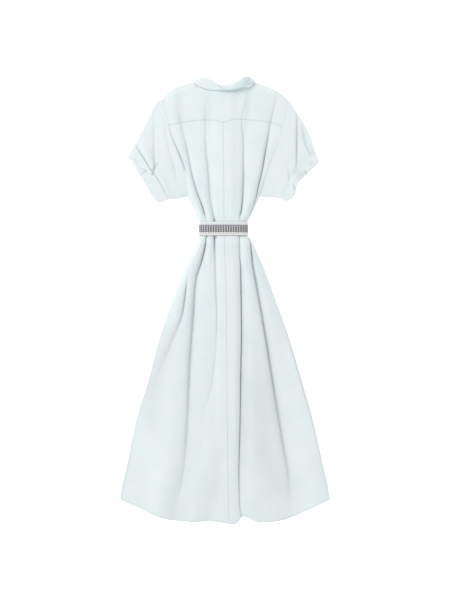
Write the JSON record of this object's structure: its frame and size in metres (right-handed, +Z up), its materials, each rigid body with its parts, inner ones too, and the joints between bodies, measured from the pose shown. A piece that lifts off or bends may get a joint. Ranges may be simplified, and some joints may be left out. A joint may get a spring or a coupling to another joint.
{
  "type": "shirt dress",
  "caption": "Short-sleeved shirt dress with standing band collar, turned-up cuffs and woven belt, laid flat with its back up.",
  "frame": {"origin": "middle of the laid dress's outline, on the surface it lies on", "axes": "+X towards the wearer's right, +Y from the hem to the collar, +Z up from the surface"},
  "size_m": [0.607, 1.2968, 0.0362],
  "materials": {
    "cloth": "plain light weave, matte, pale mint",
    "webbing": "grey-blue and white webbing with a small diamond weave",
    "button": "smooth, off-white"
  },
  "bodies": {
    "root": {"back_yoke": "cloth", "back_left": "cloth", "back_right": "cloth", "front_left": "cloth", "front_right": "cloth", "placket": "cloth", "sleeve_left": "cloth", "sleeve_right": "cloth", "cuff_left": "cloth", "cuff_right": "cloth", "collar_band": "cloth", "belt": "webbing", "button_01": "button", "button_02": "button", "button_03": "button", "button_04": "button", "button_05": "button", "button_06": "button", "button_07": "button", "button_08": "button", "button_09": "button", "button_10": "button", "button_11": "button"}
  },
  "joints": []
}
